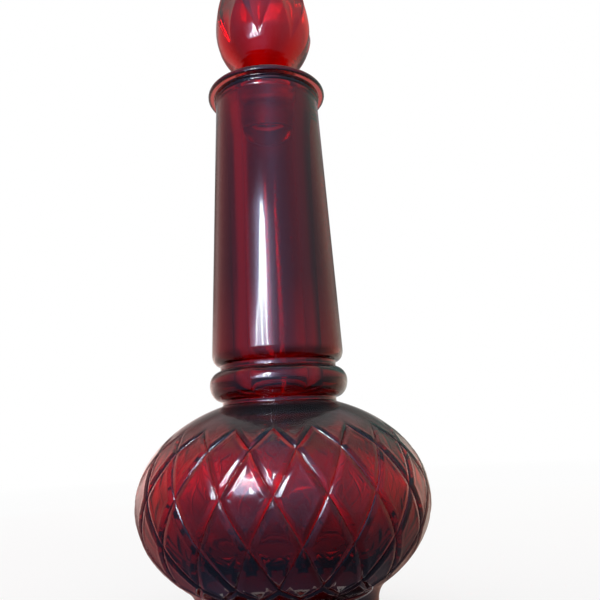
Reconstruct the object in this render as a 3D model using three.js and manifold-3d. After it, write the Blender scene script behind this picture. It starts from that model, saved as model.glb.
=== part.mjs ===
// A ruby glass decanter in two pieces: a thick-walled bottle with a diamond-cut body,
// and a stopper that lifts out of its mouth.
// Units are millimetres and +Z is up. The origin is the centre of the flat base, and Z is the axis.

import * as THREE from "three";
import { mergeVertices } from "three/addons/utils/BufferGeometryUtils.js";
import Module from "manifold-3d";

// Foot, and the cove that joins it to the body
const footRadius = 46.5;
const footEdgeRadius = 2;
const waistRadius = 41.6;
const coveRadius = 12;

// Body: a flattened ball, whose hollow is a smaller one
const bodyRadius = 69;
const bodyHalfHeight = 48.6;
const bodyCentreHeight = 57.5;
const bodyWall = 10;
const bodyBaseWall = 16;

// Diamond lattice on the body: its rows are angles up the body's curve from its widest line
const latticeColumns = 20;
const latticeLowestRow = -37.2;
const latticeRowStep = 22.4;
const latticeFullRows = 4;
const latticeEndStep = 12.5;
const latticeFootMargin = 2;
const latticeTurn = 5.5;
const grooveShare = 0.09;
const grooveDepth = 0.9;
const diamondCrown = 0.35;

// Collar ring at the root of the neck
const collarRootRadius = 27.8;
const collarBulge = 6;
const collarRise = 10.3;
const collarLowerHalf = 8;
const collarUpperHalf = 6.5;
const collarGrooveRadius = 28.5;
const collarGrooveWidth = 2.8;

// Neck: a long cone between its rounded lower end and the lip
const neckLowerRadius = 32.45;
const neckUpperRadius = 27.4;
const neckLowerRound = 4;
const neckLowerRoundHeight = 5.5;
const neckLength = 139.5;

// Lip: a rolled bead round the mouth
const lipBulge = 4;
const lipHalfHeight = 3.8;
const mouthBevel = 1;

// Bore of the neck below the stopper's seat
const boreLowerRadius = 14.5;

// Stopper: a tapered shank, a waisted stem and an egg-shaped finial
const shankUpperRadius = 14.9;
const shankLowerRadius = 13.3;
const shankLength = 26.5;
const shankBevel = 0.8;
const seatClearance = 0.35;
const stemRadius = 11;
const stemLength = 15;
const finialRadius = 26.45;
const finialLowerHeight = 25.4;
const finialUpperHeight = 42;
const finialTipRadius = 2.2;

// Pointed flutes round the upper part of the finial
const fluteCount = 8;
const fluteTipDrop = 15.5;
const fluteMergeRise = 9;
const fluteDepth = 1.5;
const fluteTurn = -5.9;

// Facets round a full turn
const turnedSides = 40;
const finialSides = fluteCount * 6;

const glass = { roughness: 0.06, metalness: 0 };
const bottleColour = "#7a0f1c";
const stopperColour = "#b42131";

const degrees = THREE.MathUtils.degToRad;

// A point (radius, height) on an arc of an ellipse, from one angle to another in equal steps.
function arc(centreRadius, centreHeight, radial, vertical, from, to, steps) {
  const points = [];
  for (let i = 0; i <= steps; i++) {
    const angle = degrees(from + ((to - from) * i) / steps);
    points.push(
      new THREE.Vector2(
        centreRadius + radial * Math.cos(angle),
        centreHeight + vertical * Math.sin(angle),
      ),
    );
  }
  return points;
}

// The body's outline at an angle up from its widest line, moved out along its normal.
function bodyOutline(angle, outward) {
  const cos = Math.cos(degrees(angle));
  const sin = Math.sin(degrees(angle));
  const normal = new THREE.Vector2(bodyHalfHeight * cos, bodyRadius * sin).normalize();
  return new THREE.Vector2(
    bodyRadius * cos + outward * normal.x,
    bodyCentreHeight + bodyHalfHeight * sin + outward * normal.y,
  );
}

// The angle on the body's lower half at which a value that grows with the angle reaches its goal.
function lowerBodyAngle(value, goal) {
  let low = -90;
  let high = 0;
  for (let i = 0; i < 40; i++) {
    const middle = (low + high) / 2;
    if (value(middle) < goal) low = middle;
    else high = middle;
  }
  return (low + high) / 2;
}

// The cove is a circle that touches the body from outside and is as narrow as the waist.
const coveCentreRadius = waistRadius + coveRadius;
const coveTouchAngle = lowerBodyAngle(
  (angle) => bodyOutline(angle, coveRadius).x,
  coveCentreRadius,
);
const coveCentreHeight = bodyOutline(coveTouchAngle, coveRadius).y;
const coveTouch = bodyOutline(coveTouchAngle, 0);
const coveUpperAngle = THREE.MathUtils.radToDeg(
  Math.atan2(coveTouch.y - coveCentreHeight, coveTouch.x - coveCentreRadius),
);
const footEdgeCentre = footRadius - footEdgeRadius;
const coveLowerAngle =
  -180 +
  THREE.MathUtils.radToDeg(
    Math.acos(THREE.MathUtils.clamp((coveCentreRadius - footRadius) / coveRadius, -1, 1)),
  );

// Heights up the bottle
const junctionAngle = THREE.MathUtils.radToDeg(Math.acos(collarRootRadius / bodyRadius));
const junctionHeight = bodyOutline(junctionAngle, 0).y;
const collarHeight = junctionHeight + collarRise;
const collarTopAngle = THREE.MathUtils.radToDeg(
  Math.acos((collarGrooveRadius - collarRootRadius) / collarBulge),
);
const collarTopHeight = collarHeight + collarUpperHalf * Math.sin(degrees(collarTopAngle));
const neckRoundCentre = neckLowerRadius - neckLowerRound;
const neckRoundAngle = THREE.MathUtils.radToDeg(
  Math.acos((collarGrooveRadius - neckRoundCentre) / neckLowerRound),
);
const neckBottomHeight = collarTopHeight + collarGrooveWidth;
const neckRoundHeight = neckBottomHeight + neckLowerRoundHeight * Math.sin(degrees(neckRoundAngle));
const lipTopHeight = neckBottomHeight + neckLength + 2 * lipHalfHeight;
const lipHeight = lipTopHeight - lipHalfHeight;

// The bottle's outside as a net of points and triangles, built upwards ring by ring.
const skinPoints = [];
const skinTriangles = [];

// A point at a radius and height, at an azimuth counted from -Y towards +X.
function addPoint(radius, height, azimuth) {
  const angle = degrees(azimuth);
  skinPoints.push(radius * Math.sin(angle), -radius * Math.cos(angle), height);
  return skinPoints.length / 3 - 1;
}

function turnedRing(radius, height) {
  return Array.from({ length: turnedSides }, (_, i) => {
    const azimuth = (360 * i) / turnedSides;
    return { azimuth, index: addPoint(radius, height, azimuth + latticeTurn) };
  });
}

// Joins two rings, whose points may be spaced differently, with one band of triangles.
function joinRings(lower, upper) {
  const next = (ring, i) => (i + 1 < ring.length ? ring[i + 1].azimuth : ring[0].azimuth + 360);
  let i = 0;
  let j = 0;
  while (i < lower.length || j < upper.length) {
    const low = lower[i % lower.length].index;
    const high = upper[j % upper.length].index;
    const takeLower =
      j >= upper.length || (i < lower.length && next(lower, i) <= next(upper, j));
    if (takeLower) skinTriangles.push(low, lower[(i + 1) % lower.length].index, high);
    else skinTriangles.push(low, upper[(j + 1) % upper.length].index, high);
    if (takeLower) i++;
    else j++;
  }
}

// Closes the net over a ring with a fan from a point on the axis.
function capRing(ring, height, upwards) {
  const centre = addPoint(0, height, 0);
  ring.forEach((point, i) => {
    const after = ring[(i + 1) % ring.length];
    if (upwards) skinTriangles.push(point.index, after.index, centre);
    else skinTriangles.push(after.index, point.index, centre);
  });
}

// The lattice is a net on the diagonals: lines numbered p lean one way and lines numbered q the
// other. Every fourth line is the bottom of a groove, and the lines beside it are its shoulders.
const linesPerDiamond = 4;
const latticeRows = latticeFullRows + 1;
const lineOffsets = [0, grooveShare, 0.5, 1 - grooveShare];
const crownShares = [0, 0.3, 1, 0.3];
const latticeSides = latticeColumns * linesPerDiamond;

function wrapLine(p) {
  return ((p % linesPerDiamond) + linesPerDiamond) % linesPerDiamond;
}

function linePlace(p) {
  return Math.floor(p / linesPerDiamond) + lineOffsets[wrapLine(p)];
}

// Rows of crossings lie one step apart, with a shorter step to the row at each end.
function latticeAngle(row) {
  const lowestRow = latticeLowestRow;
  const highestRow = lowestRow + latticeRowStep * (latticeFullRows - 1);
  const footEnd = coveTouchAngle + latticeFootMargin;
  if (row < 1) return footEnd + (lowestRow - footEnd) * row;
  if (row > latticeFullRows) return highestRow + latticeEndStep * (row - latticeFullRows);
  return lowestRow + latticeRowStep * (row - 1);
}

function latticePoint(p, q) {
  const onGroove = wrapLine(p) === 0 || wrapLine(q) === 0;
  const crown = diamondCrown * crownShares[wrapLine(p)] * crownShares[wrapLine(q)];
  const place = bodyOutline(
    latticeAngle(linePlace(p) - linePlace(q)),
    onGroove ? -grooveDepth : crown,
  );
  const column = (linePlace(p) + linePlace(q)) / 2;
  const azimuth = (column * 360) / latticeColumns;
  return {
    azimuth: ((azimuth % 360) + 360) % 360,
    index: addPoint(place.x, place.y, azimuth + latticeTurn),
  };
}

const latticeNet = [];
for (let rise = 0; rise <= latticeRows * linesPerDiamond; rise++)
  latticeNet.push(
    Array.from({ length: latticeSides }, (_, q) => latticePoint(q + rise, q)),
  );
latticeNet.forEach((line, rise) =>
  line.forEach((left, q) => {
    const after = (q + 1) % latticeSides;
    const right = line[after];
    const above = latticeNet[rise + 1];
    const below = latticeNet[rise - 1];
    if (above) skinTriangles.push(left.index, right.index, above[q].index);
    if (below) skinTriangles.push(left.index, below[after].index, right.index);
  }),
);
const inOrder = (ring) => [...ring].sort((a, b) => a.azimuth - b.azimuth);
const latticeFoot = inOrder(latticeNet[0]);
const latticeTop = inOrder(latticeNet[latticeNet.length - 1]);

// Below the lattice: base, rounded foot edge, cove
const footOutline = [
  ...arc(footEdgeCentre, footEdgeRadius, footEdgeRadius, footEdgeRadius, -90, 0, 3),
  ...arc(
    coveCentreRadius,
    coveCentreHeight,
    coveRadius,
    coveRadius,
    coveLowerAngle,
    coveUpperAngle - 360,
    6,
  ),
];
const footRings = footOutline.map((point) => turnedRing(point.x, point.y));
capRing(footRings[0], 0, false);
footRings.slice(1).forEach((ring, i) => joinRings(footRings[i], ring));
joinRings(footRings[footRings.length - 1], latticeFoot);

// Above the lattice: smooth shoulder, collar ring and its groove, neck, lip
const shoulderStart = latticeAngle(latticeRows);
const shoulderSteps = 4;
const shoulderOutline = Array.from({ length: shoulderSteps }, (_, i) =>
  bodyOutline(shoulderStart + ((junctionAngle - shoulderStart) * (i + 1)) / shoulderSteps, 0),
);
const upperOutline = [
  ...shoulderOutline,
  ...arc(collarRootRadius, collarHeight, collarBulge, collarLowerHalf, -90, 0, 5),
  ...arc(collarRootRadius, collarHeight, collarBulge, collarUpperHalf, 16, collarTopAngle, 3),
  ...arc(
    neckRoundCentre,
    neckRoundHeight,
    neckLowerRound,
    neckLowerRoundHeight,
    -neckRoundAngle,
    0,
    3,
  ),
  ...arc(neckUpperRadius, lipHeight, lipBulge, lipHalfHeight, -90, 90, 8),
];
const upperRings = upperOutline.map((point) => turnedRing(point.x, point.y));
joinRings(latticeTop, upperRings[0]);
upperRings.slice(1).forEach((ring, i) => joinRings(upperRings[i], ring));
capRing(upperRings[upperRings.length - 1], lipTopHeight, true);

const outside = new THREE.BufferGeometry();
outside.setAttribute("position", new THREE.Float32BufferAttribute(skinPoints, 3));
outside.setIndex(skinTriangles);

// The hollow: a smaller ball, the bore of the neck, and the seat that fits the stopper's shank.
const hollowRadius = bodyRadius - bodyWall;
const hollowHalfHeight = bodyHalfHeight - (bodyWall + bodyBaseWall) / 2;
const hollowCentreHeight = bodyCentreHeight + (bodyBaseWall - bodyWall) / 2;
const hollowTopAngle = THREE.MathUtils.radToDeg(Math.acos(boreLowerRadius / hollowRadius));
const shankTaper = (shankUpperRadius - shankLowerRadius) / shankLength;
const seatBottomHeight = lipTopHeight - shankLength - seatClearance;
const seatRadius = (height) =>
  shankUpperRadius + seatClearance - shankTaper * (lipTopHeight - height);
const aboveLip = 5;
const hollowProfile = [
  ...arc(0, hollowCentreHeight, hollowRadius, hollowHalfHeight, -90, hollowTopAngle, 16),
  new THREE.Vector2(boreLowerRadius, neckBottomHeight),
  new THREE.Vector2(seatRadius(seatBottomHeight), seatBottomHeight),
  new THREE.Vector2(seatRadius(lipTopHeight - mouthBevel), lipTopHeight - mouthBevel),
  new THREE.Vector2(seatRadius(lipTopHeight) + mouthBevel + aboveLip, lipTopHeight + aboveLip),
  new THREE.Vector2(0, lipTopHeight + aboveLip),
];
hollowProfile[0].x = 0;

// A lathe turns about Y, so its geometry is turned to stand along Z.
function turned(profile, sides) {
  return new THREE.LatheGeometry(profile, sides).rotateX(Math.PI / 2);
}

const wasm = await Module();
wasm.setup();

function toSolid(geometry) {
  const bare = geometry.clone();
  bare.deleteAttribute("normal");
  bare.deleteAttribute("uv");
  const merged = mergeVertices(bare, 1e-4);
  return new wasm.Manifold(
    new wasm.Mesh({
      numProp: 3,
      vertProperties: merged.attributes.position.array,
      triVerts: new Uint32Array(merged.index.array),
    }),
  );
}

function toGeometry(solid) {
  const mesh = solid.getMesh();
  const geometry = new THREE.BufferGeometry();
  geometry.setAttribute("position", new THREE.BufferAttribute(mesh.vertProperties, 3));
  geometry.setIndex(new THREE.BufferAttribute(mesh.triVerts, 1));
  geometry.computeVertexNormals();
  return geometry;
}

const hollow = turned(hollowProfile, turnedSides).rotateZ(degrees(latticeTurn));
const bottleSolid = toSolid(outside).subtract(toSolid(hollow));

const bottle = new THREE.Mesh(
  toGeometry(bottleSolid),
  new THREE.MeshStandardMaterial({ color: bottleColour, ...glass }),
);
bottle.name = "bottle";

// The stopper is turned about its own axis, with the lip's top as height 0.
const stemShare = stemRadius / finialRadius;
const finialCentre = stemLength + finialLowerHeight * Math.sqrt(1 - stemShare ** 2);
const stemJoinAngle = -THREE.MathUtils.radToDeg(Math.acos(stemShare));
const tipAngle = THREE.MathUtils.radToDeg(Math.acos(finialTipRadius / finialRadius));
const stopperProfile = [
  new THREE.Vector2(0, -shankLength),
  new THREE.Vector2(shankLowerRadius - shankBevel, -shankLength),
  new THREE.Vector2(shankLowerRadius + shankTaper * shankBevel, shankBevel - shankLength),
  new THREE.Vector2(shankUpperRadius, 0),
  new THREE.Vector2((shankUpperRadius + stemRadius) / 2, stemLength * 0.16),
  new THREE.Vector2(stemRadius, stemLength * 0.45),
  ...arc(0, finialCentre, finialRadius, finialLowerHeight, stemJoinAngle, 0, 9),
  ...arc(0, finialCentre, finialRadius, finialUpperHeight, 7, tipAngle, 11),
  new THREE.Vector2(0, finialCentre + finialUpperHeight),
];

// A flute is hollow across its width. It starts as a point on the lower half of the finial,
// widens upwards until it meets its neighbours, and thins out with the finial towards the top.
const flutePitch = 360 / fluteCount;
const fluteTip = finialCentre - fluteTipDrop;
const fluteMerge = finialCentre + fluteMergeRise;
function fluteHollow(azimuth, height, radius) {
  if (height <= fluteTip) return 0;
  const opening = Math.min(1, (height - fluteTip) / (fluteMerge - fluteTip));
  const fromMiddle = Math.abs(azimuth - flutePitch * Math.round(azimuth / flutePitch));
  const across = fromMiddle / ((opening * flutePitch) / 2);
  const thinning = Math.min(1, (2 * radius) / finialRadius);
  return across < 1 ? fluteDepth * opening * thinning * (1 - across ** 2) : 0;
}

const stopperGeometry = turned(stopperProfile, finialSides);
const corner = new THREE.Vector3();
const stopperPositions = stopperGeometry.attributes.position;
for (let i = 0; i < stopperPositions.count; i++) {
  corner.fromBufferAttribute(stopperPositions, i);
  const radius = Math.hypot(corner.x, corner.y);
  if (radius < finialTipRadius / 2) continue;
  const azimuth = THREE.MathUtils.radToDeg(Math.atan2(corner.x, -corner.y));
  const scale = 1 - fluteHollow(azimuth, corner.z, radius) / radius;
  stopperPositions.setXYZ(i, corner.x * scale, corner.y * scale, corner.z);
}
stopperGeometry.computeVertexNormals();

const stopper = new THREE.Mesh(
  stopperGeometry,
  new THREE.MeshStandardMaterial({ color: stopperColour, ...glass }),
);
stopper.name = "stopper";
stopper.position.z = lipTopHeight;
stopper.rotation.z = degrees(fluteTurn);

const decanter = new THREE.Group();
decanter.add(bottle, stopper);

export default decanter;
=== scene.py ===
# A ruby glass decanter: a thick-walled bottle cut with diamonds, and the stopper in its mouth.
# Everything is in the part's own frame, in metres, with the base on the floor and Z up the axis.

import math

import bpy
import numpy as np
from mathutils import Matrix, Vector


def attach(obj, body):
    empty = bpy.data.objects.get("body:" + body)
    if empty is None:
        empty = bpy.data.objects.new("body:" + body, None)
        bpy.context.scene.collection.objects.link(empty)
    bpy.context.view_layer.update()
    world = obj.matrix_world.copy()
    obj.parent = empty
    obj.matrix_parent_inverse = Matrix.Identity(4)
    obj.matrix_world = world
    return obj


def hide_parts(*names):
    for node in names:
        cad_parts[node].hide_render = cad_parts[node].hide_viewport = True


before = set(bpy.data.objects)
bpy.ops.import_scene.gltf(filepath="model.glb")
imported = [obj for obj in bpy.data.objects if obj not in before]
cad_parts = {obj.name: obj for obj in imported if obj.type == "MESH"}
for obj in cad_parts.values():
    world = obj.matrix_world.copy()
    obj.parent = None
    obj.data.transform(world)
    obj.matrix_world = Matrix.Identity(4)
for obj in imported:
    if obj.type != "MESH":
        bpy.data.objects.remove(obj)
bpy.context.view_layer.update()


# Camera: a hand-held close-up. It stands level with the shoulder and looks up at the neck,
# a little off the axis and rolled, which gives the photograph's lean and its view of the lip.
MM = 0.001
photo_side = 600
focal_pixels = 640.0
camera_distance = 318.0 * MM
camera_height = 84.5 * MM
camera_tilt = math.radians(12.30)
camera_turn = math.radians(2.26)
camera_roll = math.radians(-2.99)

lens = bpy.data.cameras.new("close_up")
lens.sensor_width = 36.0
lens.lens = lens.sensor_width * focal_pixels / photo_side
lens.clip_start = 0.01
camera = bpy.data.objects.new("close_up", lens)
bpy.context.scene.collection.objects.link(camera)
forward = Vector(
    (
        math.sin(camera_turn) * math.cos(camera_tilt),
        math.cos(camera_turn) * math.cos(camera_tilt),
        math.sin(camera_tilt),
    )
)
level_right = Vector((math.cos(camera_turn), -math.sin(camera_turn), 0.0))
level_up = level_right.cross(forward)
right = level_right * math.cos(camera_roll) + level_up * math.sin(camera_roll)
up = level_up * math.cos(camera_roll) - level_right * math.sin(camera_roll)
camera.matrix_world = Matrix(
    (
        (right.x, up.x, -forward.x, 0.0),
        (right.y, up.y, -forward.y, -camera_distance),
        (right.z, up.z, -forward.z, camera_height),
        (0.0, 0.0, 0.0, 1.0),
    )
)
bpy.context.scene.camera = camera


# Bottle: one piece of thick ruby glass. Its outside is a turned form with narrow diamond cuts
# round the body, and its hollow is a smaller ball under a straight bore, open at the lip.
body_radius = 69.0
body_half_height = 48.6
body_centre = 57.5
body_wall = 10.0
body_base_wall = 16.0
foot_radius = 46.5
foot_edge = 2.0
waist_radius = 41.6
cove_radius = 12.0
collar_root = 27.8
collar_bulge = 6.0
collar_rise = 10.3
collar_lower_half = 8.0
collar_upper_half = 6.5
collar_groove = 28.5
collar_groove_width = 2.8
neck_lower = 32.45
neck_upper = 27.4
neck_round = 4.0
neck_round_height = 5.5
neck_length = 139.5
lip_bulge = 4.0
lip_half_height = 3.8
lip_thickness = 3.2
lip_lower_edge = 0.9
lip_upper_edge = 1.6
lip_steps = [(0.3, 2.0), (0.75, 3.0)]
bore_lower = 14.5
mouth_round = 3.4
ground_drop = 4.0
shank_upper = 14.9
shank_lower = 13.3
shank_length = 26.5
seat_clearance = 0.35
edge_softness = 0.45
outline_flatness = 0.004
cap_radius = 0.5
hollow_end = -89.5


def arc(centre_radius, centre_height, radial, vertical, start, end, steps):
    """Points (radius, height) along part of an ellipse, in degrees from its outermost point."""
    return [
        (
            centre_radius + radial * math.cos(math.radians(a)),
            centre_height + vertical * math.sin(math.radians(a)),
        )
        for a in np.linspace(start, end, steps + 1)
    ]


def softened(outline, rounding, flatness=outline_flatness):
    """The outline with its creases fire-polished round, and few points where it runs straight."""
    points = np.array(outline, float)
    along = np.r_[0, np.cumsum(np.hypot(*np.diff(points, axis=0).T))]
    steps_per_rounding, reach_in_roundings, fewest = 4, 3, 8
    step = rounding / steps_per_rounding
    places = np.linspace(0, along[-1], max(fewest, int(along[-1] / step)))
    fine = np.stack([np.interp(places, along, points[:, i]) for i in (0, 1)], 1)
    reach = int(reach_in_roundings * rounding / step)
    weights = np.exp(-0.5 * (np.arange(-reach, reach + 1) * step / rounding) ** 2)
    weights /= weights.sum()
    for i in (0, 1):
        mirrored = np.r_[
            2 * fine[0, i] - fine[reach:0:-1, i],
            fine[:, i],
            2 * fine[-1, i] - fine[-2 : -reach - 2 : -1, i],
        ]
        fine[:, i] = np.convolve(mirrored, weights, "valid")
    kept = {0, len(fine) - 1}
    spans = [(0, len(fine) - 1)]
    while spans:
        first, last = spans.pop()
        if last - first < 2:
            continue
        line = fine[last] - fine[first]
        off = fine[first + 1 : last] - fine[first]
        away = np.abs(line[0] * off[:, 1] - line[1] * off[:, 0]) / (np.hypot(*line) + 1e-9)
        if away.max() > flatness:
            middle = first + 1 + int(away.argmax())
            kept.add(middle)
            spans += [(first, middle), (middle, last)]
    return fine[sorted(kept)]


def body_outline(angle, outward=0.0):
    """The body's outline at an angle up from its widest line, moved out square to itself."""
    cos, sin = math.cos(math.radians(angle)), math.sin(math.radians(angle))
    length = math.hypot(body_half_height * cos, body_radius * sin)
    return (
        body_radius * cos + outward * body_half_height * cos / length,
        body_centre + body_half_height * sin + outward * body_radius * sin / length,
    )


class Net:
    """Points and faces of a piece, gathered ring by ring around the axis, in millimetres."""

    def __init__(self):
        self.points = []
        self.faces = []

    def point(self, radius, height, azimuth):
        angle = math.radians(azimuth)
        self.points.append((radius * math.sin(angle), -radius * math.cos(angle), height))
        return len(self.points) - 1

    def ring(self, radius, height, azimuths):
        return [self.point(radius, height, a) for a in azimuths]

    def join(self, lower, upper):
        for i in range(len(lower)):
            j = (i + 1) % len(lower)
            self.faces.append((lower[i], lower[j], upper[j], upper[i]))

    def cap(self, ring, height, upwards):
        centre = self.point(0.0, height, 0.0)
        for i in range(len(ring)):
            j = (i + 1) % len(ring)
            pair = (ring[i], ring[j]) if upwards else (ring[j], ring[i])
            self.faces.append((*pair, centre))

    def piece(self, name):
        mesh = bpy.data.meshes.new(name)
        mesh.from_pydata((np.array(self.points) * MM).tolist(), [], self.faces)
        mesh.update()
        mesh.shade_smooth()
        made = bpy.data.objects.new(name, mesh)
        bpy.context.scene.collection.objects.link(made)
        return made


# The cove between body and foot is a circle that touches the body and is as narrow as the waist.
low, high = -90.0, 0.0
for _ in range(40):
    cove_touch = (low + high) / 2
    if body_outline(cove_touch, cove_radius)[0] < waist_radius + cove_radius:
        low = cove_touch
    else:
        high = cove_touch
cove_centre = body_outline(cove_touch, cove_radius)
touch = body_outline(cove_touch)
cove_top = math.degrees(math.atan2(touch[1] - cove_centre[1], touch[0] - cove_centre[0]))
cove_bottom = -180 + math.degrees(math.acos((cove_centre[0] - foot_radius) / cove_radius))

# Heights up the bottle
junction = math.degrees(math.acos(collar_root / body_radius))
collar_height = body_outline(junction)[1] + collar_rise
collar_top = math.degrees(math.acos((collar_groove - collar_root) / collar_bulge))
neck_start = collar_height + collar_upper_half * math.sin(math.radians(collar_top))
neck_start += collar_groove_width
round_centre = neck_lower - neck_round
round_angle = math.degrees(math.acos((collar_groove - round_centre) / neck_round))
round_height = neck_start + neck_round_height * math.sin(math.radians(round_angle))
lip_top = neck_start + neck_length + 2 * lip_half_height

# Diamond lattice: the crossings of its cuts lie in rows up the body, with a shorter step at each
# end. A cut's profile gives heights against the distance off its middle line, both in mm.
lattice_columns = 20
lattice_lowest = -37.2
lattice_step = 22.4
lattice_full_rows = 4
lattice_end_step = 12.5
lattice_foot_margin = 2.0
lattice_turn = 5.5
lattice_end_fade = 0.4
lattice_end_depth = 0.25
diamond_pitch = 18.0
cut_profile = [
    (0, -0.90),
    (0.12, -0.84),
    (0.35, -0.62),
    (0.55, -0.49),
    (0.75, -0.41),
    (1.0, -0.335),
    (1.4, -0.23),
    (1.8, -0.135),
    (2.2, -0.05),
    (2.45, -0.01),
    (2.65, 0.0),
    (2.9, -0.015),
    (3.2, -0.048),
    (3.6, -0.10),
    (4.0, -0.15),
    (4.5, -0.19),
    (5.4, -0.22),
    (9.0, -0.235),
]
cut_rim = 2.65
net_lines = [off / diamond_pitch for off, _ in cut_profile]
net_lines += [1 - line for line in net_lines[-2:0:-1]]
lines = len(net_lines)


def line_place(number):
    """Where a line of the net lies, counted in diamonds."""
    return number // lines + net_lines[number % lines]


def row_angle(row):
    """The angle up from the body's widest line at a row of crossings, or between two rows."""
    foot_end = cove_touch + lattice_foot_margin
    if row < 1:
        return foot_end + (lattice_lowest - foot_end) * row
    if row > lattice_full_rows:
        highest = lattice_lowest + lattice_step * (lattice_full_rows - 1)
        return highest + lattice_end_step * (row - lattice_full_rows)
    return lattice_lowest + lattice_step * (row - 1)


def cut(place):
    """How far below its rims a cut lies at this place, and how far the dished diamond does."""
    off = abs(place - round(place)) * diamond_pitch
    depth = -np.interp(off, *zip(*cut_profile))
    return (depth, 0.0) if off < cut_rim else (0.0, depth)


bottle_net = Net()
lattice_rows = lattice_full_rows + 1
lattice_net = []
for rise in range(lattice_rows * lines + 1):
    row = []
    for q in range(lattice_columns * lines):
        first, second = line_place(q + rise), line_place(q)
        level = first - second
        end = min(1.0, level / lattice_end_fade, (lattice_rows - level) / lattice_end_fade)
        (groove, hollow), (other_groove, other_hollow) = cut(first), cut(second)
        depth = (groove**3 + other_groove**3) ** (1 / 3)
        depth *= lattice_end_depth + (1 - lattice_end_depth) * end
        depth += min(hollow, other_hollow) * end
        radius, height = body_outline(row_angle(level), -depth)
        azimuth = (first + second) / 2 * 360 / lattice_columns
        row.append(bottle_net.point(radius, height, azimuth + lattice_turn))
    lattice_net.append(row)
for rise, row in enumerate(lattice_net):
    for q, left in enumerate(row):
        after = (q + 1) % len(row)
        if 0 < rise < len(lattice_net) - 1:
            above, below = lattice_net[rise + 1][q], lattice_net[rise - 1][after]
            bottle_net.faces.append((left, below, row[after]))
            bottle_net.faces.append((left, row[after], above))
        elif rise == 0:
            bottle_net.faces.append((left, row[after], lattice_net[1][q]))
        else:
            bottle_net.faces.append((left, lattice_net[rise - 1][after], row[after]))

foot_outline = (
    [(cap_radius, 0.0)]
    + arc(foot_radius - foot_edge, foot_edge, foot_edge, foot_edge, -90, 0, 12)
    + arc(*cove_centre, cove_radius, cove_radius, cove_bottom, cove_top - 360, 40)
    + [body_outline(a) for a in np.linspace(cove_touch, row_angle(0), 4)[1:]]
)
shoulder_start = row_angle(lattice_rows)
lip_bottom = lip_top - lip_thickness
lip_corner = neck_upper + lip_bulge - lip_lower_edge
lip_rings, ring_start = [], lip_bottom - sum(height for _, height in lip_steps)
for stand_out, ring_height in lip_steps:
    lip_rings += arc(neck_upper, ring_start + stand_out, stand_out, stand_out, -90, 0, 8)
    ring_start += ring_height
    lip_rings.append((neck_upper + stand_out, ring_start))
lip_crown = neck_upper + lip_bulge - lip_upper_edge
upper_outline = (
    [body_outline(a) for a in np.linspace(shoulder_start, junction, 24)]
    + arc(collar_root, collar_height, collar_bulge, collar_lower_half, -90, 0, 24)
    + arc(collar_root, collar_height, collar_bulge, collar_upper_half, 3, collar_top, 20)
    + arc(round_centre, round_height, neck_round, neck_round_height, -round_angle, 0, 16)
    + lip_rings
    + arc(lip_corner, lip_bottom + lip_lower_edge, lip_lower_edge, lip_lower_edge, -90, 0, 10)
    + arc(lip_crown, lip_top - lip_upper_edge, lip_upper_edge, lip_upper_edge, 0, 90, 16)
)
seat_bottom = lip_top - shank_length - seat_clearance
shank_taper = (shank_upper - shank_lower) / shank_length


def seat_radius(height):
    """The ground seat of the stopper, which narrows downwards as the shank does."""
    return shank_upper + seat_clearance - shank_taper * (lip_top - height)


hollow_radius = body_radius - body_wall
hollow_half_height = body_half_height - (body_wall + body_base_wall) / 2
hollow_centre = body_centre + (body_base_wall - body_wall) / 2
hollow_top = math.degrees(math.acos(bore_lower / hollow_radius))
mouth = seat_radius(lip_top - mouth_round)
hollow_outline = (
    arc(mouth + mouth_round, lip_top - mouth_round, mouth_round, mouth_round, 90, 180, 12)
    + [(seat_radius(seat_bottom), seat_bottom), (bore_lower, neck_start)]
    + arc(0, hollow_centre, hollow_radius, hollow_half_height, hollow_top, hollow_end, 80)
)

foot_sides = [
    line_place(q) * 360 / lattice_columns + lattice_turn for q in range(lattice_columns * lines)
]
neck_sides = [a + 180 / lattice_columns * lattice_rows for a in foot_sides]
foot_rings = [
    bottle_net.ring(r, z, foot_sides) for r, z in softened(foot_outline, edge_softness)[:-1]
]
bottle_net.cap(foot_rings[0], 0.0, False)
for lower, upper in zip(foot_rings, foot_rings[1:] + [lattice_net[0]]):
    bottle_net.join(lower, upper)
outer_top = [tuple(p) for p in softened(upper_outline + hollow_outline, edge_softness)[1:]]
neck_rings = [lattice_net[-1]] + [bottle_net.ring(r, z, neck_sides) for r, z in outer_top]
for lower, upper in zip(neck_rings, neck_rings[1:]):
    bottle_net.join(lower, upper)
bottle_net.cap(neck_rings[-1], hollow_centre - hollow_half_height, True)

bottle = bottle_net.piece("bottle_glass")
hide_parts("bottle")
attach(bottle, "bottle_body")


# Hand-worked glass: its polish is not quite flat, and finger marks dull it in places. Dust lies
# as a thin dull veil on what faces up, and a ground zone, where the stopper seats, is frosted.
hand_worked = bpy.data.node_groups.new("hand_worked_surface", "ShaderNodeTree")
for socket, default in (
    ("Wave Size", 30.0),
    ("Polish", 0.02),
    ("Marks", 0.06),
    ("Dust", 0.10),
    ("Ground", 0.2),
    ("Ground From", 0.0),
    ("Ground To", 0.0),
    ("Ground Radius", 0.0),
):
    made = hand_worked.interface.new_socket(socket, in_out="INPUT", socket_type="NodeSocketFloat")
    made.default_value = default
for socket in ("Height", "Roughness", "Veil"):
    hand_worked.interface.new_socket(socket, in_out="OUTPUT", socket_type="NodeSocketFloat")
inner, inner_links = hand_worked.nodes, hand_worked.links
given = inner.new("NodeGroupInput")
result = inner.new("NodeGroupOutput")
place = inner.new("ShaderNodeTexCoord")
veil_per_dust = (3.5, 7.0)


def joined(nodes, links, operation, first, second):
    """What a Math node makes of two other nodes' values."""
    node = nodes.new("ShaderNodeMath")
    node.operation = operation
    links.new(first, node.inputs[0])
    links.new(second, node.inputs[1])
    return node.outputs[0]


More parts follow.
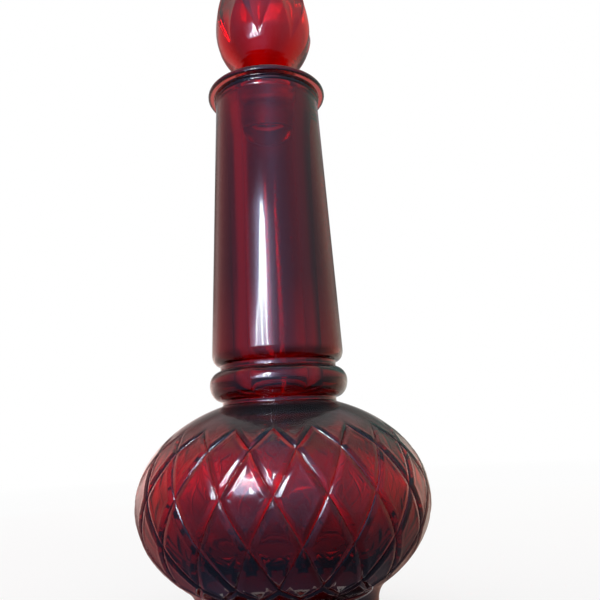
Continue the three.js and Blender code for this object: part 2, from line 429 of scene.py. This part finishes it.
def ranged(nodes, links, value, **limits):
    """What a Map Range node makes of a value. A limit is a number or another node's value."""
    node = nodes.new("ShaderNodeMapRange")
    links.new(value, node.inputs["Value"])
    for limit, amount in limits.items():
        socket = node.inputs[limit.replace("_", " ").title()]
        if isinstance(amount, float):
            socket.default_value = amount
        else:
            links.new(amount, socket)
    return node


def noise(scale, detail, roughness):
    """A noise that runs through the glass. Its scale is a number or another node's value."""
    node = inner.new("ShaderNodeTexNoise")
    inner_links.new(place.outputs["Object"], node.inputs["Vector"])
    if isinstance(scale, float):
        node.inputs["Scale"].default_value = scale
    else:
        inner_links.new(scale, node.inputs["Scale"])
    node.inputs["Detail"].default_value = detail
    node.inputs["Roughness"].default_value = roughness
    return node.outputs["Fac"]


swells = noise(given.outputs["Wave Size"], 1.0, 0.4)
inner_links.new(swells, result.inputs["Height"])
marks = noise(45.0, 5.0, 0.65)
dulled = ranged(
    inner,
    inner_links,
    marks,
    from_min=0.50,
    from_max=0.72,
    to_min=given.outputs["Polish"],
    to_max=given.outputs["Marks"],
)
apart = inner.new("ShaderNodeSeparateXYZ")
inner_links.new(place.outputs["Object"], apart.inputs["Vector"])
flat = inner.new("ShaderNodeCombineXYZ")
for axis in ("X", "Y"):
    inner_links.new(apart.outputs[axis], flat.inputs[axis])
off_axis = inner.new("ShaderNodeVectorMath")
off_axis.operation = "LENGTH"
inner_links.new(flat.outputs["Vector"], off_axis.inputs[0])
over, under, within = (
    joined(inner, inner_links, side, measure, given.outputs[limit])
    for side, measure, limit in (
        ("GREATER_THAN", apart.outputs["Z"], "Ground From"),
        ("LESS_THAN", apart.outputs["Z"], "Ground To"),
        ("LESS_THAN", off_axis.outputs["Value"], "Ground Radius"),
    )
)
height_zone = joined(inner, inner_links, "MULTIPLY", over, under)
ground_zone = joined(inner, inner_links, "MULTIPLY", height_zone, within)
surface_kind = inner.new("ShaderNodeMix")
inner_links.new(ground_zone, surface_kind.inputs["Factor"])
inner_links.new(dulled.outputs["Result"], surface_kind.inputs["A"])
inner_links.new(given.outputs["Ground"], surface_kind.inputs["B"])
facing_way = inner.new("ShaderNodeSeparateXYZ")
inner_links.new(place.outputs["Normal"], facing_way.inputs["Vector"])
settled = ranged(
    inner,
    inner_links,
    facing_way.outputs["Z"],
    from_min=0.45,
    from_max=0.95,
    to_max=given.outputs["Dust"],
)
settled.interpolation_type = "SMOOTHSTEP"
dust = settled.outputs["Result"]
dustier = joined(inner, inner_links, "MAXIMUM", surface_kind.outputs["Result"], dust)
inner_links.new(dustier, result.inputs["Roughness"])
patches = ranged(
    inner,
    inner_links,
    marks,
    from_min=0.35,
    from_max=0.65,
    to_min=veil_per_dust[0],
    to_max=veil_per_dust[1],
)
veil = joined(inner, inner_links, "MULTIPLY", dust, patches.outputs["Result"])
inner_links.new(veil, result.inputs["Veil"])


def ruby_glass(name, kept_light, density, wave_size, wave_height, polish, marks, ground):
    """Clear glass coloured all the way through: orange-red in a thin edge, deep red further in,
    and nearly black in the thick of the piece. Its dust is a rough coat."""
    material = bpy.data.materials.new(name)
    material.use_nodes = True
    nodes, links = material.node_tree.nodes, material.node_tree.links
    shader = nodes["Principled BSDF"]
    shader.inputs["Base Color"].default_value = (1.0, 1.0, 1.0, 1.0)
    shader.inputs["Transmission Weight"].default_value = 1.0
    shader.inputs["IOR"].default_value = 1.52
    shader.inputs["Coat Roughness"].default_value = 0.6
    surface = nodes.new("ShaderNodeGroup")
    surface.node_tree = hand_worked
    surface.inputs["Wave Size"].default_value = wave_size
    surface.inputs["Polish"].default_value = polish
    surface.inputs["Marks"].default_value = marks
    for socket, value in zip(("Ground From", "Ground To", "Ground Radius"), ground):
        surface.inputs[socket].default_value = value * MM
    links.new(surface.outputs["Roughness"], shader.inputs["Roughness"])
    links.new(surface.outputs["Veil"], shader.inputs["Coat Weight"])
    waves = nodes.new("ShaderNodeBump")
    waves.inputs["Strength"].default_value = 1.0
    waves.inputs["Distance"].default_value = wave_height
    links.new(surface.outputs["Height"], waves.inputs["Height"])
    links.new(waves.outputs["Normal"], shader.inputs["Normal"])
    through = nodes.new("ShaderNodeVolumeAbsorption")
    through.inputs["Color"].default_value = (*kept_light, 1.0)
    through.inputs["Density"].default_value = density
    links.new(through.outputs["Volume"], nodes["Material Output"].inputs["Volume"])
    return material


seat_zone = (seat_bottom, lip_top - ground_drop, shank_upper + 2 * seat_clearance)
bottle.data.materials.append(
    ruby_glass(
        "bottle_ruby",
        kept_light=(0.925, 0.20, 0.16),
        density=600.0,
        wave_size=28.0,
        wave_height=0.10 * MM,
        polish=0.015,
        marks=0.07,
        ground=seat_zone,
    )
)


# Stopper: one piece of the same glass. Its tapered shank is seated in the mouth, and its finial
# is an egg on a short stem, with pointed flutes cut into the upper part.
shank_bevel = 0.8
shank_margin = 1.0
stem_radius = 11.0
stem_length = 12.0
stem_waist = (0.16, 0.45)
finial_radius = 26.45
finial_lower = 28.7
finial_upper = 42.0
finial_tip = 2.2
tip_radius = 0.3
flute_count = 8
flute_sides = 44
flute_tip_drop = 15.5
flute_merge_rise = 9.0
flute_depth = 2.2
flute_turn = -5.9
ripple_depth = 0.035
ripple_pitch = 1.5
ripple_end = -38.0
ripple_from = 0.3
ripple_skew = 1.4
ripple_waves = 3
plain_flatness = 0.002
ripple_flatness = 0.0002
least_radius = 0.05

stem_share = stem_radius / finial_radius
finial_centre = stem_length + finial_lower * math.sqrt(1 - stem_share**2)
stem_join = -math.degrees(math.acos(stem_share))
tip_angle = math.degrees(math.acos(finial_tip / finial_radius))
stopper_outline = (
    [(cap_radius, -shank_length), (shank_lower - shank_bevel, -shank_length)]
    + [(shank_lower + shank_taper * shank_bevel, shank_bevel - shank_length), (shank_upper, 0.0)]
    + [((shank_upper + stem_radius) / 2, stem_length * stem_waist[0])]
    + [(stem_radius, stem_length * stem_waist[1])]
    + arc(0, finial_centre, finial_radius, finial_lower, stem_join, ripple_end, 110)
    + arc(0, finial_centre, finial_radius, finial_lower, ripple_end + 1, 0, 36)
    + arc(0, finial_centre, finial_radius, finial_upper, 1, tip_angle, 90)
    + [(tip_radius, finial_centre + finial_upper)]
)
flute_pitch = 360 / flute_count


def flute(azimuth, height, radius):
    """How deep the flutes cut: each starts as a point and widens up until it meets the next."""
    tip, merge = finial_centre - flute_tip_drop, finial_centre + flute_merge_rise
    if height <= tip:
        return 0.0
    opening = min(1.0, (height - tip) / (merge - tip))
    middle = abs(azimuth - flute_pitch * round(azimuth / flute_pitch))
    across = middle / (opening * flute_pitch / 2)
    thinning = min(1.0, 2 * radius / finial_radius)
    return flute_depth * opening * thinning * (1 - across**2) if across < 1 else 0.0


ripple_start = ripple_from * stem_length
ripple_top = finial_centre + finial_lower * math.sin(math.radians(ripple_end))


def ripple(azimuth, height):
    """How far the finial's lower end stands out: it was turned off the stem while it was soft."""
    if not ripple_start < height < ripple_top:
        return 0.0
    share = (height - ripple_start) / (ripple_top - ripple_start)
    fading = math.sin(math.pi * share**ripple_skew)
    unevenness = math.sin(math.radians(ripple_waves * azimuth))
    return ripple_depth * fading * math.sin(2 * math.pi * height / ripple_pitch + unevenness)


stopper_net = Net()
stopper_sides = [360 * i / (flute_count * flute_sides) for i in range(flute_count * flute_sides)]
stopper_rings = []
plain = softened(stopper_outline, edge_softness, plain_flatness)
fine = softened(stopper_outline, edge_softness, ripple_flatness)
stopper_profile = [(r, h) for r, h in plain if h < ripple_start]
stopper_profile += [(r, h) for r, h in fine if ripple_start <= h <= ripple_top]
stopper_profile += [(r, h) for r, h in plain if h > ripple_top]
for radius, height in stopper_profile:
    ring = []
    for a in stopper_sides:
        worked = max(least_radius, radius - flute(a, height, radius) + ripple(a, height))
        ring.append(stopper_net.point(worked, height + lip_top, a + flute_turn))
    stopper_rings.append(ring)
stopper_net.cap(stopper_rings[0], lip_top - shank_length, False)
for lower, upper in zip(stopper_rings, stopper_rings[1:]):
    stopper_net.join(lower, upper)
stopper_net.cap(stopper_rings[-1], lip_top + finial_centre + finial_upper, True)

stopper = stopper_net.piece("stopper_glass")
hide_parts("stopper")
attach(stopper, "stopper_body")
shank_bottom = lip_top - shank_length + shank_bevel
shank_zone = (shank_bottom, lip_top - ground_drop, shank_upper + shank_margin)
stopper.data.materials.append(
    ruby_glass(
        "stopper_ruby",
        kept_light=(0.982, 0.36, 0.34),
        density=600.0,
        wave_size=40.0,
        wave_height=0.08 * MM,
        polish=0.01,
        marks=0.05,
        ground=shank_zone,
    )
)


# Studio: a pale floor and a white surround, which the glass shows too. Both shine white where
# they are looked at, and the floor does so more and more with distance, which hides its horizon.
# It keeps the object's shadow, and under the foot its white glow is cut down, a painted shadow
# that the glass shows.
white_level = 1.0
room_level = 1.0
floor_reach = 6.0
floor_white = 0.65
floor_fade = (0.35, 1.6)
painted_foot_shadow_share = 0.35


def seen_directly(nodes, links):
    """1 where a camera, glossy or transmission ray arrives: where the background is looked at."""
    paths = nodes.new("ShaderNodeLightPath")
    seen = paths.outputs["Is Camera Ray"]
    for ray in ("Is Glossy Ray", "Is Transmission Ray"):
        seen = joined(nodes, links, "MAXIMUM", seen, paths.outputs[ray])
    return seen


floor_mesh = bpy.data.meshes.new("floor")
corners = [(-1, -1), (1, -1), (1, 1), (-1, 1)]
floor_corners = [(x * floor_reach, y * floor_reach, 0) for x, y in corners]
floor_mesh.from_pydata(floor_corners, [], [(0, 1, 2, 3)])
floor = bpy.data.objects.new("floor", floor_mesh)
bpy.context.scene.collection.objects.link(floor)
floor_paint = bpy.data.materials.new("pale_floor")
floor_paint.use_nodes = True
nodes, links = floor_paint.node_tree.nodes, floor_paint.node_tree.links
paint = nodes["Principled BSDF"]
paint.inputs["Base Color"].default_value = (0.93, 0.93, 0.93, 1)
paint.inputs["Roughness"].default_value = 0.7
glow = nodes.new("ShaderNodeEmission")
glow.inputs["Strength"].default_value = white_level
floor_place = nodes.new("ShaderNodeTexCoord")
from_axis = nodes.new("ShaderNodeVectorMath")
from_axis.operation = "LENGTH"
links.new(floor_place.outputs["Object"], from_axis.inputs[0])
# Painted shadow: under the foot the floor's white glow drops to a share, as if in the foot's
# shade.
outside_painted_foot_shadow = ranged(
    nodes,
    links,
    from_axis.outputs["Value"],
    from_min=(foot_radius - foot_edge) * MM,
    from_max=foot_radius * MM,
    to_min=painted_foot_shadow_share,
)
far_off = ranged(
    nodes,
    links,
    from_axis.outputs["Value"],
    from_min=floor_fade[0],
    from_max=floor_fade[1],
    to_min=floor_white,
)
share = joined(nodes, links, "MULTIPLY", seen_directly(nodes, links), far_off.outputs["Result"])
shaded = joined(nodes, links, "MULTIPLY", share, outside_painted_foot_shadow.outputs["Result"])
lit = nodes.new("ShaderNodeMixShader")
links.new(shaded, lit.inputs["Fac"])
links.new(paint.outputs[0], lit.inputs[1])
links.new(glow.outputs[0], lit.inputs[2])
links.new(lit.outputs[0], nodes["Material Output"].inputs["Surface"])
floor_mesh.materials.append(floor_paint)

world = bpy.data.worlds.new("surround")
bpy.context.scene.world = world
world.use_nodes = True
nodes, links = world.node_tree.nodes, world.node_tree.links
nodes.clear()
output = nodes.new("ShaderNodeOutputWorld")
room = nodes.new("ShaderNodeBackground")
room.inputs["Strength"].default_value = room_level
backdrop = nodes.new("ShaderNodeBackground")
backdrop.inputs["Color"].default_value = (1, 1, 1, 1)
backdrop.inputs["Strength"].default_value = white_level
choose = nodes.new("ShaderNodeMixShader")
links.new(seen_directly(nodes, links), choose.inputs["Fac"])
links.new(room.outputs[0], choose.inputs[1])
links.new(backdrop.outputs[0], choose.inputs[2])
links.new(choose.outputs[0], output.inputs["Surface"])


# Tent: a glowing ring round the glass that only the glass sees, holding painted reflections and
# painted shade: the tones of a dim room put into what the glass reflects and shows through. It is
# warm and bright at the back's sides, cool in front, soft grey above and dark straight behind,
# and its hem, a painted shade, lies on the floor where the glass would show the white floor. Its
# tables go by azimuth in degrees, with 0 in front.
def card(name, points, faces, colours, see_through):
    """A card that shines in colours given point by point. Only the glass sees it."""
    mesh = bpy.data.meshes.new(name)
    mesh.from_pydata(points, [], faces)
    shine = mesh.attributes.new("shine", "FLOAT_VECTOR", "POINT")
    shine.data.foreach_set("vector", np.ravel(colours))
    made = bpy.data.objects.new(name, mesh)
    bpy.context.scene.collection.objects.link(made)
    made.visible_camera = False
    made.visible_shadow = False
    made.visible_diffuse = False
    face = bpy.data.materials.new(name + "_face")
    face.use_nodes = True
    nodes, links = face.node_tree.nodes, face.node_tree.links
    nodes.clear()
    shine_read = nodes.new("ShaderNodeAttribute")
    shine_read.attribute_name = "shine"
    shining = nodes.new("ShaderNodeEmission")
    links.new(shine_read.outputs["Vector"], shining.inputs["Color"])
    end = nodes.new("ShaderNodeOutputMaterial")
    links.new(shining.outputs[0], end.inputs["Surface"])
    if see_through:
        gauze = nodes.new("ShaderNodeBsdfTransparent")
        both = nodes.new("ShaderNodeAddShader")
        links.new(gauze.outputs[0], both.inputs[0])
        links.new(shining.outputs[0], both.inputs[1])
        links.new(both.outputs[0], end.inputs["Surface"])
    mesh.materials.append(face)


def table_row(table, at):
    """A table's values at a place, in a straight line from row to row."""
    places, *columns = zip(*table)
    return [np.interp(at, places, column) for column in columns]


tent_radius = 0.75
tent_turns = 120
tent_hem_lift = 0.001
tent_hem_reach = (0.048, 0.15, 0.30, 0.75)
# The hem's painted shade: its share of the low band's colour at each reach from the axis
painted_shade_hem = [
    (-180, 0.13, 0.28, 0.44, 0.85),
    (-150, 0.13, 0.27, 0.50, 0.90),
    (-120, 0.32, 0.60, 0.85, 1.10),
    (-85, 0.42, 0.80, 1.00, 1.10),
    (-60, 0.38, 0.60, 0.80, 1.00),
    (-25, 0.22, 0.42, 0.95, 1.00),
    (0, 0.22, 0.40, 0.90, 1.00),
    (30, 0.20, 0.35, 0.55, 0.90),
    (60, 0.30, 0.58, 0.60, 0.90),
    (90, 0.34, 0.60, 0.66, 0.80),
    (120, 0.26, 0.55, 0.75, 1.15),
    (150, 0.18, 0.45, 0.66, 0.95),
    (180, 0.13, 0.28, 0.44, 0.85),
]
tent_split = (0.12, 0.33)
tent_fade = 1.25
tent_roof = 2.0
tent_opening = 0.3
# The painted reflection colour of the low band
painted_reflection_low = [
    (-180, 0.36, 0.34, 0.32),
    (-167, 0.85, 0.64, 0.60),
    (-152, 1.75, 1.30, 1.20),
    (-135, 1.50, 1.00, 0.95),
    (-115, 1.00, 0.40, 0.40),
    (-95, 0.75, 0.22, 0.28),
    (-65, 0.34, 0.26, 0.46),
    (-30, 0.36, 0.46, 0.84),
    (0, 0.40, 0.54, 1.00),
    (25, 0.34, 0.36, 0.58),
    (60, 0.38, 0.36, 0.50),
    (85, 0.50, 0.36, 0.38),
    (115, 0.85, 0.45, 0.36),
    (135, 1.35, 1.00, 0.85),
    (152, 1.02, 0.92, 0.80),
    (167, 0.44, 0.42, 0.42),
    (180, 0.36, 0.34, 0.32),
]
# The painted reflection and shade colour of the high band, and the height where it ends
painted_reflection_high = [
    (-180, 0.15, 0.15, 0.15, 0.53),
    (-172, 0.32, 0.30, 0.29, 0.53),
    (-160, 0.36, 0.34, 0.33, 0.53),
    (-148, 0.33, 0.22, 0.21, 0.53),
    (-134, 0.86, 0.58, 0.56, 0.70),
    (-115, 0.90, 0.40, 0.42, 0.90),
    (-95, 0.70, 0.30, 0.42, 1.20),
    (-65, 0.36, 0.36, 0.64, 1.50),
    (-35, 0.32, 0.40, 0.72, 1.50),
    (-12, 0.45, 0.60, 1.05, 1.50),
    (4, 0.65, 0.85, 1.50, 1.50),
    (20, 0.48, 0.58, 0.98, 1.50),
    (40, 0.40, 0.44, 0.68, 1.50),
    (60, 0.46, 0.48, 0.68, 1.50),
    (85, 0.36, 0.46, 0.54, 1.20),
    (115, 0.28, 0.50, 0.46, 0.90),
    (132, 0.31, 0.52, 0.46, 0.70),
    (147, 0.19, 0.28, 0.26, 0.53),
    (160, 0.14, 0.16, 0.15, 0.53),
    (180, 0.15, 0.15, 0.15, 0.53),
]
# How much of its painted brightness the high band keeps at its upper end
painted_reflection_crest = [(-180, 1.0), (-172, 0.6), (-160, 0.5), (-148, 0.8), (-138, 1.0), (180, 1.0)]
# The painted reflection colour above it, up to the roof
painted_reflection_above = [
    (-180, 0.60, 0.54, 0.54),
    (-172, 0.54, 0.50, 0.50),
    (-161, 0.36, 0.36, 0.37),
    (-150, 0.50, 0.46, 0.46),
    (-138, 0.54, 0.48, 0.48),
    (-125, 0.46, 0.44, 0.44),
    (-60, 0.52, 0.50, 0.50),
    (-30, 0.25, 0.50, 0.85),
    (30, 0.25, 0.50, 0.85),
    (60, 0.55, 0.53, 0.52),
    (115, 0.66, 0.58, 0.56),
    (140, 0.66, 0.58, 0.56),
    (152, 0.44, 0.44, 0.44),
    (162, 0.30, 0.32, 0.34),
    (172, 0.44, 0.42, 0.43),
    (180, 0.60, 0.54, 0.54),
]
points, faces, colours = [], [], []
for i in range(tent_turns + 1):
    azimuth = -180 + 360 * i / tent_turns
    shares, low, high, above = (
        table_row(table, azimuth) for table in (painted_shade_hem, painted_reflection_low, painted_reflection_high, painted_reflection_above)
    )
    top = high.pop()
    brightest = max(1.0, max(low))
    rows = [
        (reach, tent_hem_lift, np.array(low) * share / brightest)
        for reach, share in zip(tent_hem_reach, shares)
    ]
    rows += [(tent_radius, tent_split[0], low), (tent_radius, tent_split[1], high)]
    crest = np.array(high) * table_row(painted_reflection_crest, azimuth)[0]
    rows += [(tent_radius, top, crest), (tent_radius, top * tent_fade, above)]
    rows += [(tent_radius, tent_roof, above), (tent_opening, tent_roof, above)]
    a = math.radians(azimuth)
    for radius, z, colour in rows:
        points.append((radius * math.sin(a), -radius * math.cos(a), z))
        colours.append(colour)
    if i:
        for row in range(len(rows) - 1):
            new, old = len(rows) * i + row, len(rows) * (i - 1) + row
            faces.append((old, new, new + 1, old + 1))
# The ring of painted reflections and shade goes on a card that only the glass sees.
card("painted_reflection_tent", points, faces, colours, False)


# Window: a near, narrow and very bright pane that only the glass sees, wider towards its foot.
# Three slanting strokes keep its full light down to its foot, and between them it dims. A cool
# haze lies round it. Its measures are in metres across and up from its centre.
window_centre = Vector((-0.092, -0.2435, 0.222))
window_target = Vector((0.0, -0.03, 0.13))
window_reach = (0.12, 0.11)
window_columns, window_rows = 160, 60
window_glare = 31.0
window_tint = np.array((0.86, 1.0, 1.0))
window_blur = 0.006
# Height, left edge and right edge
window_edges = [
    (-0.075, -0.038, 0.072),
    (-0.030, -0.028, 0.064),
    (-0.005, -0.034, 0.034),
    (0.015, -0.035, 0.022),
    (0.062, -0.030, 0.008),
    (0.075, -0.018, 0.000),
]
# Strokes: where each crosses the height of the fork, and how far it leans per metre down
window_stroke = 0.0045
window_stroke_blur = 0.003
window_strokes = [(0.028, 0.31), (0.017, -0.045), (-0.003, -0.255)]
window_fork = 0.05
# Height, and how bright the pane is between the strokes
window_between = [(-0.055, 0.02), (-0.035, 0.15), (-0.015, 0.4), (0.03, 0.95)]
haze_reach = (0.025, 0.024)
haze_ends = 0.008
haze_glare = 9.0
haze_tint = np.array((0.72, 0.84, 1.25))


def inside(out, blur):
    """1 inside an edge and 0 outside it, blurred across it."""
    return min(1.0, max(0.0, 0.5 - out / blur))


facing = (window_target - window_centre).normalized()
across = Vector((0, 0, 1)).cross(facing).normalized()
upward = facing.cross(across)
lowest, highest = window_edges[0][0], window_edges[-1][0]
points, faces, colours = [], [], []
for j in range(window_rows + 1):
    v = -window_reach[1] + 2 * window_reach[1] * j / window_rows
    left_edge, right_edge = table_row(window_edges, v)
    between = table_row(window_between, v)[0]
    for i in range(window_columns + 1):
        u = -window_reach[0] + 2 * window_reach[0] * i / window_columns
        out = max(left_edge - u, u - right_edge, lowest - v, v - highest)
        down = window_fork - v
        off_stroke = min(abs(u - start - down * lean) for start, lean in window_strokes)
        stroke = inside(off_stroke - window_stroke, window_stroke_blur)
        core = inside(out, window_blur) * (stroke + (1 - stroke) * between)
        beside = max((left_edge - u) / haze_reach[0], (u - right_edge) / haze_reach[1], 0.0)
        beyond = max(lowest - v, v - highest, 0.0)
        haze = (1 - core) * math.exp(-beside - beyond / haze_ends)
        points.append(window_centre + across * u + upward * v)
        colours.append(core * window_glare * window_tint + haze * haze_glare * haze_tint)
    if j:
        for i in range(window_columns):
            new, old = (window_columns + 1) * j + i, (window_columns + 1) * (j - 1) + i
            faces.append((old, old + 1, new + 1, new))
card("window", points, faces, colours, True)


# Top light: a broad soft box that lights the floor and gives the glass its soft shadow. It hangs
# above and behind, and the glass doesn't show it.
top_light_level = 1.3
top_light_aim = Vector((0, 0, 0.1))
top_light = bpy.data.lights.new("top_light", "AREA")
top_light.shape = "SQUARE"
top_light.size = 0.9
top_light.energy = top_light_level * math.pi * top_light.size**2
top_lamp = bpy.data.objects.new("top_light", top_light)
bpy.context.scene.collection.objects.link(top_lamp)
top_lamp.visible_glossy = False
top_lamp.visible_transmission = False
top_lamp.location = (0.15, 0.60, 1.15)
top_lamp.rotation_euler = (top_lamp.location - top_light_aim).to_track_quat("Z", "Y").to_euler()

bpy.context.scene.view_settings.view_transform = "Standard"
